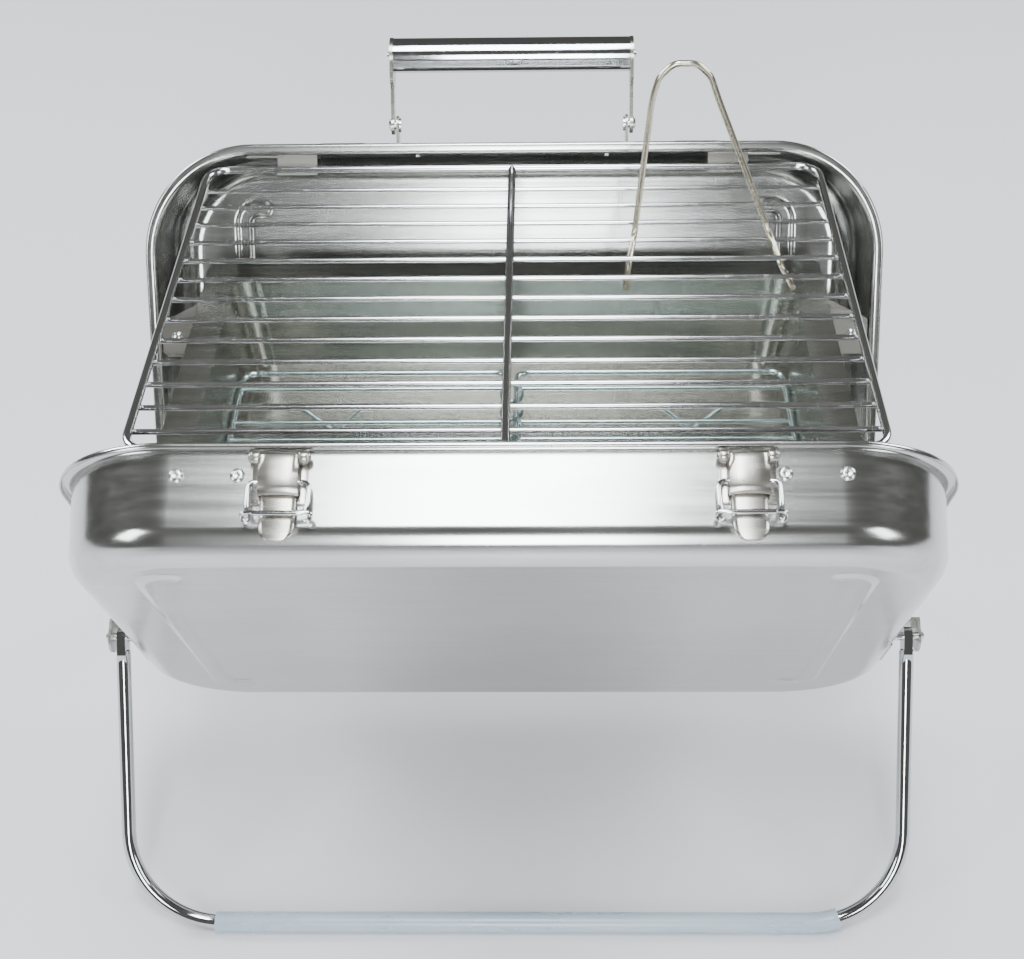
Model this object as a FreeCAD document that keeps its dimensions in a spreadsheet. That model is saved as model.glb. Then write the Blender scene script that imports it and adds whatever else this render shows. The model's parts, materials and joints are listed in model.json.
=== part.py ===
import FreeCAD, Part
import math
import os
import Sketcher
from FreeCAD import Placement, Rotation, Vector

# Folding camp grill: two deep-drawn pans hinged like a suitcase and opened into a V,
# standing on two U legs. Frame: +X along the hinge, -Y towards the latch pan, +Z up,
# origin on the floor under the middle of the hinge.

doc = FreeCAD.newDocument("folding_camp_grill")

dimensions = {
    # case
    "halfAngle": 28.3, "caseWidth": 450, "caseHeight": 293.5,
    "hingeGap": 4, "rimCorner": 68, "lipWidth": 6, "lipEdge": 3.2, "rimGap": 0.25,
    "wallDepth": 44.75, "draft": 2.5, "faceDepth": 54.9, "bevelWidth": 10, "steel": 0.8,
    "beadSpread": 173, "beadReach": 11, "beadTall": 216, "beadFoot": 46, "beadWide": 11,
    "beadRise": 1.2,
    # hinges
    "hingeSpread": 150, "leafWidth": 50, "leafSteel": 1.2, "knuckleRadius": 2.5,
    "knuckleWidth": 16, "pinRadius": 1.25, "runningFit": 0.05,
    # latches
    "latchSpread": 109, "latchShift": 4.4, "latchBaseWidth": 26, "leverWidth": 19, "latchSteel": 1.2,
    "bailWire": 1.1, "latchPinRadius": 1.5,
    # handle
    "handleSpread": 71, "handleRadius": 10.3, "handleReach": 41, "armSteel": 2,
    "handlePivot": 17.2, "handleDepth": 12, "handlePivotRadius": 2.4,
    # legs
    "legWidth": 470, "legTube": 4.25, "legWall": 0.9, "legLength": 174, "legBend": 55,
    "legPivotAlong": 74, "legPivotDepth": 33, "legAngle": 117, "sleeveRadius": 6,
    "sleeveWall": 1.6, "sleeveLength": 350, "legBoltRadius": 2.5,
    # charcoal tray and its grate
    "trayLength": 372, "trayWidth": 224, "trayFlange": 17, "trayLevel": 198,
    "trayDepth": 60, "trayTaper": 9, "grateHalf": 162, "grateWidth": 98, "grateLevel": 160,
    "grateWire": 1.75, "grateRod": 1.4, "footDrop": 18.6,
    # cooking rack
    "rackLength": 366, "rackWidth": 266, "rackLevel": 249, "rackWire": 2.25,
    "rackRod": 1.5, "rackCorner": 13, "lifterWire": 1.75, "clipCentre": 142, "clipShift": 3,
    # fasteners
    "rivetShank": 1.6, "rivetHead": 3.6, "rivetRise": 1.3,
}

dims = doc.addObject("Spreadsheet::Sheet", "dims")
for row, (alias, value) in enumerate(dimensions.items(), start=1):
    dims.set("A%d" % row, alias)
    dims.set("B%d" % row, str(value))
    dims.setAlias("B%d" % row, alias)
doc.recompute()


def size(alias):
    return float(getattr(dims, alias))


subparts = []
halfAngle = size("halfAngle")
draftAngle = math.degrees(math.atan(size("draft") / (size("wallDepth") - size("rimGap"))))
topWall = size("hingeGap") + size("caseHeight") - size("lipWidth")
sideWall = size("caseWidth") / 2 - size("lipWidth")
bottomWall = size("hingeGap") + size("lipWidth")

legLean = math.radians(size("legAngle") + halfAngle)
pivotHeight = (size("legPivotAlong") * math.cos(math.radians(halfAngle))
               - size("legPivotDepth") * math.sin(math.radians(halfAngle)))
hingeHeight = size("sleeveRadius") - size("legLength") * math.cos(legLean) - pivotHeight

# Case frame: x along the hinge, y up the rim from the hinge, z outward from the rim plane.
frontCase = Placement(Vector(0, 0, hingeHeight), Rotation(Vector(1, 0, 0), 90 + halfAngle))
rearCase = Placement(Vector(), Rotation(Vector(0, 0, 1), 180)) * frontCase
cases = {"front": frontCase, "rear": rearCase}


def wallInset(depth):
    """How far a drafted wall has moved inward at this depth."""
    return size("draft") * (depth - size("rimGap")) / (size("wallDepth") - size("rimGap"))


def onTopWall(x, depth):
    """Case frame to a seat on the top wall: x along, y towards the rim, z out of the wall."""
    return Placement(Vector(x, topWall - wallInset(depth), depth),
                     Rotation(Vector(1, 0, 0), draftAngle - 90))


def keep(obj, label, placement):
    obj.Label = label
    obj.Placement = placement
    subparts.append(obj)
    return obj


def bind(obj, **properties):
    for name, value in properties.items():
        if isinstance(value, str):
            obj.setExpression(name, value)
        else:
            setattr(obj, name, value)
    return obj


# ---- Part primitives ----

def cylinder(name, radius, height, at=Vector(), axis=Vector(0, 0, 1)):
    obj = bind(doc.addObject("Part::Cylinder", name), Radius=radius, Height=height)
    obj.Placement = Placement(at, Rotation(Vector(0, 0, 1), axis))
    return obj


def box(name, length, width, height, at=Vector()):
    obj = bind(doc.addObject("Part::Box", name), Length=length, Width=width, Height=height)
    obj.Placement = Placement(at, Rotation())
    return obj


def cone(name, lower, upper, height, at=Vector(), axis=Vector(0, 0, 1)):
    obj = bind(doc.addObject("Part::Cone", name), Radius1=lower, Radius2=upper, Height=height)
    obj.Placement = Placement(at, Rotation(Vector(0, 0, 1), axis))
    return obj


def fuse(name, shapes):
    obj = doc.addObject("Part::MultiFuse", name)
    obj.Shapes = shapes
    return obj


def cut(name, base, tool):
    obj = doc.addObject("Part::Cut", name)
    obj.Base = base
    obj.Tool = tool
    return obj


def group(name, members):
    obj = doc.addObject("Part::Compound", name)
    obj.Links = members
    return obj


# ---- sketches and PartDesign bodies ----

def newBody(name):
    return doc.addObject("PartDesign::Body", name)


def newSketch(body, name, role="XY_Plane", offset=0.0):
    sketch = body.newObject("Sketcher::SketchObject", name)
    plane = [item for item in body.Origin.OriginFeatures if item.Role == role][0]
    sketch.AttachmentSupport = [(plane, "")]
    sketch.MapMode = "FlatFace"
    sketch.AttachmentOffset = Placement(Vector(0, 0, offset), Rotation())
    return sketch


def roundedRectangle(sketch, width, height, radius, bottom):
    """Rectangle centred on the vertical axis, its four sizes given as sheet expressions."""
    corners = [(10, 0, -90), (10, 10, 0), (-10, 10, 90), (-10, 0, 180)]
    sides = [((-10, -5), (10, -5)), ((15, 0), (15, 10)), ((10, 15), (-10, 15)), ((-15, 10), (-15, 0))]
    first = sketch.GeometryCount
    for (start, end), (x, y, turn) in zip(sides, corners):
        sketch.addGeometry(Part.LineSegment(Vector(*start, 0), Vector(*end, 0)))
        circle = Part.Circle(Vector(x, y, 0), Vector(0, 0, 1), 5)
        sketch.addGeometry(Part.ArcOfCircle(circle, math.radians(turn), math.radians(turn + 90)))
    low, right, high, left = first, first + 2, first + 4, first + 6
    for index in range(8):
        following = first + (index + 1) % 8
        sketch.addConstraint(Sketcher.Constraint("Tangent", first + index, 2, following, 1))
    sketch.addConstraint(Sketcher.Constraint("Horizontal", high))
    for line in (right, left):
        sketch.addConstraint(Sketcher.Constraint("Vertical", line))
    for arc in (3, 5, 7):
        sketch.addConstraint(Sketcher.Constraint("Equal", first + 1, first + arc))
    sketch.addConstraint(Sketcher.Constraint("Symmetric", low, 1, low, 2, -2))
    driven = [("DistanceX", (left, 1, right, 1), width), ("DistanceY", (low, 1, high, 1), height),
              ("Radius", (first + 1,), radius), ("DistanceY", (-1, 1, low, 1), bottom)]
    for kind, targets, expression in driven:
        start = {"DistanceX": 30.0, "DistanceY": 20.0, "Radius": 5.0}[kind]
        if targets == (-1, 1, low, 1):
            start = -5.0
        index = sketch.addConstraint(Sketcher.Constraint(kind, *targets, start))
        sketch.setExpression("Constraints[%d]" % index, expression)
    return sketch


def circleSketch(sketch, x, y, radius):
    index = sketch.addGeometry(Part.Circle(Vector(x, y, 0), Vector(0, 0, 1), 1))
    constraint = sketch.addConstraint(Sketcher.Constraint("Radius", index, 1.0))
    sketch.setExpression("Constraints[%d]" % constraint, radius)
    return sketch


def polygonSketch(sketch, points):
    for start, end in zip(points, points[1:] + points[:1]):
        sketch.addGeometry(Part.LineSegment(Vector(*start, 0), Vector(*end, 0)))
    return sketch


def pathSketch(sketch, points, bend, closed=False):
    """Straight runs through the points, joined by tangent arcs of one radius."""
    vectors = [Vector(*point, 0) for point in points]
    if closed:
        vectors = vectors + [vectors[0]]
    cursor = vectors[0]
    count = 0
    for corner, following in zip(vectors[1:-1], vectors[2:]):
        inward = (corner - cursor).normalize()
        outward = (following - corner).normalize()
        setback = bend * math.tan(inward.getAngle(outward) / 2)
        start = corner - inward * setback
        end = corner + outward * setback
        bisector = (outward - inward).normalize()
        middle = corner + bisector * (math.hypot(bend, setback) - bend)
        sketch.addGeometry(Part.LineSegment(cursor, start))
        sketch.addGeometry(Part.Arc(start, middle, end))
        cursor = end
        count += 2
    sketch.addGeometry(Part.LineSegment(cursor, vectors[-1]))
    return ["Edge%d" % (index + 1) for index in range(count + 1)]


def pad(body, sketch, length, symmetric=False, reverse=False, kind="PartDesign::Pad"):
    feature = body.newObject(kind, sketch.Name + "_pad")
    feature.Profile = sketch
    bind(feature, Length=length)
    if symmetric:
        feature.Midplane = True
    feature.Reversed = reverse
    return feature


def loft(body, sketches, kind):
    feature = body.newObject(kind, sketches[0].Name + "_loft")
    feature.Profile = sketches[0]
    feature.Sections = sketches[1:]
    feature.Ruled = True
    return feature


def pipe(body, name, points, bend, radius, kind="PartDesign::AdditivePipe", closed=False):
    """Round wire or tube along a flat path that starts along x or along y."""
    path = newSketch(body, name + "_path")
    edges = pathSketch(path, points, bend, closed)
    (startX, startY), (nextX, nextY) = points[0], points[1]
    if startY == nextY:
        profile = newSketch(body, name + "_profile", "YZ_Plane", startX)
        circleSketch(profile, startY, 0, radius)
    else:
        profile = newSketch(body, name + "_profile", "XZ_Plane", -startY)
        circleSketch(profile, startX, 0, radius)
    doc.recompute()
    feature = body.newObject(kind, name + "_pipe")
    feature.Profile = profile
    feature.Spine = (path, edges)
    return feature


def bentSheet(name, points, thickness, width, shift=0.0):
    """Sheet bent along a polyline in the body's YZ plane, extruded both ways along x."""
    body = newBody(name)
    vectors = [Vector(*point, 0) for point in points]
    directions = [(end - start).normalize() for start, end in zip(vectors, vectors[1:])]
    near, far = [], []
    for index, corner in enumerate(vectors):
        before = directions[max(index - 1, 0)]
        after = directions[min(index, len(directions) - 1)]
        normal = Vector(-before.y - after.y, before.x + after.x, 0).normalize()
        reach = thickness / 2 / math.cos(before.getAngle(after) / 2)
        near.append(corner + normal * reach)
        far.append(corner - normal * reach)
    outline = [(point.x, point.y) for point in near + far[::-1]]
    sketch = newSketch(body, name + "_outline", "YZ_Plane", shift)
    polygonSketch(sketch, outline)
    pad(body, sketch, width, symmetric=True)
    return body


def drill(body, name, role, offset, x, y, radius, reverse=False):
    """Round hole through everything, cut both ways from its sketch."""
    sketch = newSketch(body, name, role, offset)
    circleSketch(sketch, x, y, radius)
    doc.recompute()
    feature = body.newObject("PartDesign::Pocket", name + "_pocket")
    feature.Profile = sketch
    feature.Type = "ThroughAll"
    feature.Midplane = True
    return feature


# ---- fasteners ----

def rivet(name, seat, grip=2.4):
    """Domed pop rivet on a seat whose z points out; the shank goes down into the sheets."""
    inward = seat.Rotation.multVec(Vector(0, 0, -1))
    outward = seat.Rotation.multVec(Vector(0, 0, 1))
    shank = cylinder(name + "_shank", "dims.rivetShank", grip, seat.Base, inward)
    head = cone(name + "_head", "dims.rivetHead", "dims.rivetHead * 0.6", "dims.rivetRise",
                seat.Base, outward)
    return fuse(name, [shank, head])


# ---- case halves ----

def makeShell(side):
    body = newBody(side + "_shell_body")
    width, height = "dims.caseWidth", "dims.caseHeight"
    lip, thick = "dims.lipWidth", "dims.steel"

    def section(name, offset, inset):
        sketch = newSketch(body, side + name, "XY_Plane", offset)
        return roundedRectangle(sketch, "%s - 2 * (%s)" % (width, inset),
                                "%s - 2 * (%s)" % (height, inset),
                                "dims.rimCorner - (%s)" % inset, "dims.hingeGap + %s" % inset)

    face = lip + " + dims.draft + dims.bevelWidth"
    outer = [section("_wall_rim", size("rimGap"), lip),
             section("_wall_deep", size("wallDepth"), lip + " + dims.draft"),
             section("_face", size("faceDepth"), face)]
    loft(body, outer, "PartDesign::AdditiveLoft")
    doc.recompute()
    flange = section("_flange", size("rimGap"), "0")
    pad(body, flange, thick)
    doc.recompute()
    inner = [section("_inner_rim", size("rimGap"), lip + " + " + thick),
             section("_inner_deep", size("wallDepth") - size("steel") * 0.4,
                     lip + " + dims.draft + " + thick),
             section("_inner_face", size("faceDepth") - size("steel"), face + " + " + thick + " * 0.4")]
    loft(body, inner, "PartDesign::SubtractiveLoft")
    doc.recompute()
    edge = section("_lip_edge", size("rimGap"), "0")
    roundedRectangle(edge, width + " - 2 * " + thick, height + " - 2 * " + thick,
                     "dims.rimCorner - " + thick, "dims.hingeGap + " + thick)
    pad(body, edge, "dims.lipEdge")
    doc.recompute()
    for sign in (-1, 1):
        raised = newSketch(body, "%s_bead_%d" % (side, sign + 1), "XY_Plane", size("faceDepth"))
        polygonSketch(raised, beadOutline(sign, size("beadWide")))
        pad(body, raised, "dims.beadRise")
        hollow = newSketch(body, "%s_bead_hollow_%d" % (side, sign + 1), "XY_Plane",
                           size("faceDepth") - size("steel"))
        polygonSketch(hollow, beadOutline(sign, size("beadWide") - 2 * size("steel")))
        doc.recompute()
        pocket = body.newObject("PartDesign::Pocket", hollow.Name + "_pocket")
        pocket.Profile = hollow
        pocket.setExpression("Length", "dims.beadRise")
        pocket.Reversed = True
    return keep(body, side + "_shell", cases[side])


def beadOutline(sign, width):
    """C-shaped stiffening bead: a tall bar with a short arm inward at each end."""
    outerX = size("beadSpread") + width / 2
    innerX = size("beadSpread") - width / 2
    reachX = innerX - size("beadReach")
    middle = size("beadFoot") + size("beadTall") / 2
    high = size("beadTall") / 2
    inset = (size("beadWide") - width) / 2
    points = [(reachX + inset, high - inset), (outerX, high - inset),
              (outerX, -high + inset), (reachX + inset, -high + inset),
              (reachX + inset, -high + inset + width), (innerX, -high + inset + width),
              (innerX, high - inset - width), (reachX + inset, high - inset - width)]
    return [(sign * x, middle + y) for x, y in points]


# ---- hinges ----

def makeHinges():
    gap = 0.3
    webStart = 3.8
    leafDepth = 20
    thick = size("leafSteel")
    for side in ("front", "rear"):
        leaves = []
        for sign in (-1, 1):
            name = "%s_leaf_%d" % (side, sign + 1)
            middle = sign * size("hingeSpread")
            half = size("leafWidth") / 2
            flat = box(name + "_flat", "dims.leafWidth", "dims.leafSteel", leafDepth - webStart,
                       Vector(middle - half, bottomWall - thick, webStart))
            web = box(name + "_web", "dims.leafWidth", bottomWall + thick / 2, "dims.leafSteel",
                      Vector(middle - half, -thick / 2, webStart))
            solids = [flat, web]
            if side == "front":
                spans = [(-size("knuckleWidth") / 2, size("knuckleWidth") / 2)]
            else:
                start = size("knuckleWidth") / 2 + gap
                spans = [(-half, -start), (start, half)]
            for index, (low, high) in enumerate(spans):
                tag = "%s_%d" % (name, index)
                solids.append(box(tag + "_tab", high - low, "dims.leafSteel", webStart - 1.8 + 0.2,
                                  Vector(middle + low, -thick / 2, 1.8)))
                solids.append(cylinder(tag + "_knuckle", "dims.knuckleRadius", high - low,
                                       Vector(middle + low, 0, 0), Vector(1, 0, 0)))
            bore = cylinder(name + "_bore", "dims.pinRadius + dims.runningFit", "dims.leafWidth",
                            Vector(middle - half, 0, 0), Vector(1, 0, 0))
            leaves.append(cut(name, fuse(name + "_solid", solids), bore))
        keep(group(side + "_hinge_leaves", leaves), side + "_hinge_leaves", cases[side])
    pins = []
    for sign in (-1, 1):
        middle = sign * size("hingeSpread")
        half = size("leafWidth") / 2
        pin = cylinder("hinge_pin_%d" % (sign + 1), "dims.pinRadius", "dims.leafWidth + 2",
                       Vector(middle - half - 1, 0, 0), Vector(1, 0, 0))
        heads = [cylinder("hinge_pin_head_%d_%d" % (sign + 1, end + 1), "dims.knuckleRadius * 0.8", 1,
                          Vector(middle + end * (half + 1) - 0.5, 0, 0), Vector(1, 0, 0))
                 for end in (-1, 1)]
        pins.append(fuse("hinge_pin_solid_%d" % (sign + 1), [pin] + heads))
    keep(group("hinge_pins_group", pins), "hinge_pins", frontCase)


# ---- latches ----

latchDepth = 8.0
pivotRise = 5.5
bailSeat = Vector(0, -12, 3.6)
bailTilt = 16.0


def makeLatch(side, sign):
    """Draw latch: seat frame at the pivot's depth, y towards the rim, z out of the wall."""
    seat = frontCase * onTopWall(sign * size("latchSpread") + size("latchShift"), latchDepth)
    thick = size("latchSteel")
    halfBase = size("latchBaseWidth") / 2
    halfLever = size("leverWidth") / 2
    plate = box(side + "_base_plate", "dims.latchBaseWidth", 26, "dims.latchSteel",
                Vector(-halfBase, -22, 0))
    ears = [box("%s_base_ear_%d" % (side, end + 1), "dims.latchSteel", 8, pivotRise + 2.6,
                Vector(end * (halfBase - thick / 2) - thick / 2, -4, 0)) for end in (-1, 1)]
    bore = cylinder(side + "_base_bore", "dims.latchPinRadius", "dims.latchBaseWidth",
                    Vector(-halfBase, 0, pivotRise), Vector(1, 0, 0))
    keep(cut(side + "_base", fuse(side + "_base_solid", [plate] + ears), bore),
         "latch_base_" + side, seat)
    barrel = cylinder(side + "_lever_barrel", 2.9, "dims.leverWidth",
                      Vector(-halfLever, 0, pivotRise), Vector(1, 0, 0))
    arm = box(side + "_lever_arm", "dims.leverWidth", 24, "dims.latchSteel",
              Vector(-halfLever, -25, pivotRise + 0.6))
    stem = box(side + "_tongue_stem", "dims.leverWidth - 2", 13, "dims.latchSteel",
               Vector(1 - halfLever, -32.5, pivotRise))
    tip = cylinder(side + "_tongue_tip", "dims.leverWidth / 2 - 1", "dims.latchSteel",
                   Vector(0, -32.5, pivotRise))
    cheeks = [box("%s_lever_cheek_%d" % (side, end + 1), "dims.latchSteel", 15, 5.0,
                  Vector(end * (halfLever - thick / 2) - thick / 2, -24, 1.7))
              for end in (-1, 1)]
    solid = fuse(side + "_lever_solid", [barrel, arm, stem, tip] + cheeks)
    bores = [cylinder(side + "_lever_bore", "dims.latchPinRadius + dims.runningFit",
                      "dims.leverWidth", Vector(-halfLever, 0, pivotRise), Vector(1, 0, 0)),
             cylinder(side + "_bail_bore", "dims.bailWire + dims.runningFit", "dims.leverWidth",
                      Vector(-halfLever, bailSeat.y, bailSeat.z), Vector(1, 0, 0))]
    keep(cut(side + "_lever", solid, fuse(side + "_lever_bores", bores)),
         "latch_lever_" + side, seat)
    # bail: closed wire loop through the lever's cheeks, resting over the tongue
    body = newBody(side + "_bail_body")
    halfWide = halfBase + size("bailWire") + 0.2
    reach = 15.5
    loop = [(0, 0), (halfWide, 0), (halfWide, reach), (-halfWide, reach), (-halfWide, 0)]
    pipe(body, side + "_bail", loop, 2.6, "dims.bailWire", closed=True)
    keep(body, "latch_bail_" + side,
         seat * Placement(bailSeat, Rotation(Vector(1, 0, 0), 180 - bailTilt)))


def makeLatchPins():
    pins = []
    for index, sign in enumerate((-1, 1)):
        pin = cylinder("latch_pin_%d" % index, "dims.latchPinRadius", "dims.latchBaseWidth")
        pin.Placement = (onTopWall(sign * size("latchSpread") + size("latchShift"), latchDepth)
                         * Placement(Vector(-size("latchBaseWidth") / 2, 0, pivotRise),
                                     Rotation(Vector(0, 0, 1), Vector(1, 0, 0))))
        pins.append(pin)
    keep(group("latch_pins_group", pins), "latch_pins", frontCase)


catchDepth = 12.0
catchSpread = 107.0


def makeCatch(side, sign):
    """Hooked plate on the rear pan that a bail pulls against."""
    hook = [(-9, 0.6), (5.5, 0.6), (5.5, 6.0), (0.5, 6.0)]
    body = bentSheet("catch_%s_body" % side, hook, size("latchSteel"), "dims.latchBaseWidth")
    along = -sign * catchSpread - size("latchShift")
    keep(body, "catch_plate_" + side, rearCase * onTopWall(along, catchDepth))


# ---- cooking rack clips ----

clipDepth = 15.0
clipSteel = 1.0


def clipShift(side):
    return size("clipShift") if side == "front" else 0.0


def makeClip(side, hand, sign):
    """Plate riveted inside the top wall, with a hooked tab the rack's end bar sits on."""
    inside = -size("steel") - clipSteel / 2
    along = sign if side == "front" else -sign
    centre = along * size("clipCentre") + clipShift(side)
    drop = rackSeat.y - size("rackWire") * 0.93 - topWall
    tab = [(-7, inside), (clipDepth - 5, inside), (clipDepth - 5, drop - clipSteel / 2),
           (clipDepth - 1, drop - clipSteel / 2)]
    body = bentSheet("clip_%s_%s" % (side, hand), tab, clipSteel, 24.0, -12 * along)
    plate = newSketch(body, body.Name + "_plate", "XY_Plane", inside - clipSteel / 2)
    end = 19.5 * along
    polygonSketch(plate, [(-0.5 * along, -7), (end, -7), (end, 7), (-0.5 * along, 7)])
    doc.recompute()
    pad(body, plate, clipSteel)
    keep(body, "rack_clip_%s_%s" % (side, hand),
         cases[side] * onTopWall(centre, clipDepth))


def makeWallRivets():
    shift = size("latchShift")
    latchSpots = [(sign * size("latchSpread") + shift + offset, latchDepth + 18, size("latchSteel"))
                  for sign in (-1, 1) for offset in (-4, 4)]
    catchSpots = [(sign * catchSpread - shift + offset, catchDepth + 3, size("latchSteel"))
                  for sign in (-1, 1) for offset in (-6.5, 6.5)]
    for side, spots in (("front", latchSpots), ("rear", catchSpots)):
        spots += [(sign * (size("clipCentre") + offset) + clipShift(side), clipDepth, 0)
                  for sign in (-1, 1) for offset in (-14, 15)]
        rivets = [rivet("%s_wall_rivet_%d" % (side, index),
                        onTopWall(x, depth) * Placement(Vector(0, 0, lift), Rotation()))
                  for index, (x, depth, lift) in enumerate(spots)]
        keep(group(side + "_wall_rivets_group", rivets), side + "_wall_rivets", cases[side])


# ---- carrying handle ----

def makeHandle():
    seatY = size("handleDepth")
    rise = size("handlePivot")
    thick = size("armSteel")
    inner = size("handleSpread")
    pivots, screws, rivets = [], [], []
    for hand, sign in (("left", -1), ("right", 1)):
        # bracket: a foot on the wall and one ear inside the arm
        earX = sign * (inner - 1.8)
        foot = box(hand + "_handle_foot", 22, 16, 1.5, Vector(earX - (11 + sign * 10.25), -8, 0))
        ear = box(hand + "_handle_ear", 1.5, 11, rise, Vector(earX - 0.75, -5.5, 0))
        crown = cylinder(hand + "_handle_crown", 5.5, 1.5, Vector(earX - 0.75, 0, rise), Vector(1, 0, 0))
        bore = cylinder(hand + "_handle_bore", "dims.handlePivotRadius", 6,
                        Vector(earX - 3, 0, rise), Vector(1, 0, 0))
        seat = onTopWall(0, seatY)
        solid = fuse(hand + "_handle_bracket_solid", [foot, ear, crown])
        keep(cut(hand + "_handle_bracket", solid, bore), "handle_bracket_" + hand, rearCase * seat)
        rivets += [rivet("%s_handle_rivet_%d" % (hand, end + 1), seat
                         * Placement(Vector(earX - sign * 12, end * 4.2, 1.5), Rotation()), 3.2)
                   for end in (-1, 1)]
        # arm: strip with a broad end over the tube and a round eye on the pivot
        body = newBody(hand + "_arm_body")
        outline = newSketch(body, hand + "_arm_outline", "YZ_Plane")
        reach = size("handleReach")
        polygonSketch(outline, [(-4.2, 0), (4.2, 0), (4.2, reach - 19), (9.6, reach - 14), (9.6, reach),
                                (-9.6, reach), (-9.6, reach - 14), (-4.2, reach - 19)])
        pad(body, outline, "dims.armSteel", symmetric=True)
        for tag, height, radius in (("eye", 0, 5.6), ("end", reach, 10.6)):
            disc = newSketch(body, "%s_arm_%s" % (hand, tag), "YZ_Plane")
            circleSketch(disc, 0, height, "%s" % radius)
            doc.recompute()
            pad(body, disc, "dims.armSteel", symmetric=True)
        doc.recompute()
        drill(body, hand + "_arm_pivot", "YZ_Plane", 0, 0, 0,
              "dims.handlePivotRadius + dims.runningFit")
        doc.recompute()
        armX = sign * (inner + thick / 2)
        keep(body, "handle_arm_" + hand,
             rearCase * seat * Placement(Vector(armX, 0, rise), Rotation()))
        outward = Vector(sign, 0, 0)
        pin = cylinder(hand + "_pivot_pin", "dims.handlePivotRadius", thick + 4,
                       Vector(sign * (inner - 3.2), 0, rise), outward)
        caps = [cylinder(hand + "_pivot_cap_in", 4.2, 1.2, Vector(sign * (inner - 3.9), 0, rise), outward),
                cone(hand + "_pivot_cap_out", 4.6, 2.8, 1.4,
                     Vector(sign * (inner + thick + 0.15), 0, rise), outward)]
        pivots.append(fuse(hand + "_pivot", [pin] + caps))
        screwAt = Vector(sign * (inner + thick), 0, rise + reach)
        screws.append(fuse(hand + "_screw", [
            cone(hand + "_screw_head", 3.4, 1.8, 2.0, screwAt, outward),
            cylinder(hand + "_screw_shank", 2.0, 9.0, screwAt, -outward)]))
    shift = rearCase * onTopWall(0, seatY)
    keep(group("handle_pivots_group", pivots), "handle_pivots", shift)
    keep(group("handle_screws_group", screws), "handle_screws", shift)
    keep(group("handle_rivets_group", rivets), "handle_bracket_rivets", rearCase)
    tube = newBody("handle_tube_body")
    ring = newSketch(tube, "handle_ring", "YZ_Plane")
    circleSketch(ring, 0, 0, "dims.handleRadius")
    circleSketch(ring, 0, 0, "dims.handleRadius - 1")
    pad(tube, ring, "2 * dims.handleSpread", symmetric=True)
    keep(tube, "handle_tube", shift * Placement(Vector(0, 0, rise + size("handleReach")), Rotation()))


# ---- legs ----

armX = size("legWidth") / 2 - size("legTube")


def makeLeg(side):
    """U of bent tube with flattened, drilled ends; local y runs from pivot to foot."""
    body = newBody(side + "_leg_body")
    startY = 8.0
    foot = size("legLength")
    course = [(-armX, startY), (-armX, foot), (armX, foot), (armX, startY)]
    pipe(body, side + "_leg_outside", course, size("legBend"), "dims.legTube")
    doc.recompute()
    pipe(body, side + "_leg_inside", course, size("legBend"), "dims.legTube - dims.legWall",
         "PartDesign::SubtractivePipe")
    doc.recompute()
    for sign in (-1, 1):
        eye = newSketch(body, "%s_eye_%d" % (side, sign + 1), "YZ_Plane", sign * armX)
        circleSketch(eye, 0, 0, "5.5")
        doc.recompute()
        pad(body, eye, 5.0, symmetric=True)
        neck = newSketch(body, "%s_neck_%d" % (side, sign + 1), "YZ_Plane", sign * armX)
        polygonSketch(neck, [(0, -5.5), (10, -5.5), (15, -3.4), (15, 3.4), (10, 5.5), (0, 5.5)])
        doc.recompute()
        pad(body, neck, 5.0, symmetric=True)
    doc.recompute()
    drill(body, side + "_leg_bolt_hole", "YZ_Plane", 0, 0, 0, "dims.legBoltRadius + dims.runningFit")
    pivot = Vector(0, size("legPivotAlong"), size("legPivotDepth"))
    legFrame = cases[side] * Placement(pivot, Rotation(Vector(1, 0, 0), size("legAngle")))
    keep(body, "leg_%s_tube" % side, legFrame)
    sleeve = newBody(side + "_sleeve_body")
    ring = newSketch(sleeve, side + "_sleeve_ring", "YZ_Plane")
    circleSketch(ring, foot, 0, "dims.sleeveRadius")
    circleSketch(ring, foot, 0, "dims.legTube + 0.05")
    pad(sleeve, ring, "dims.sleeveLength", symmetric=True)
    keep(sleeve, "foot_sleeve_" + side, legFrame)


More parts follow.
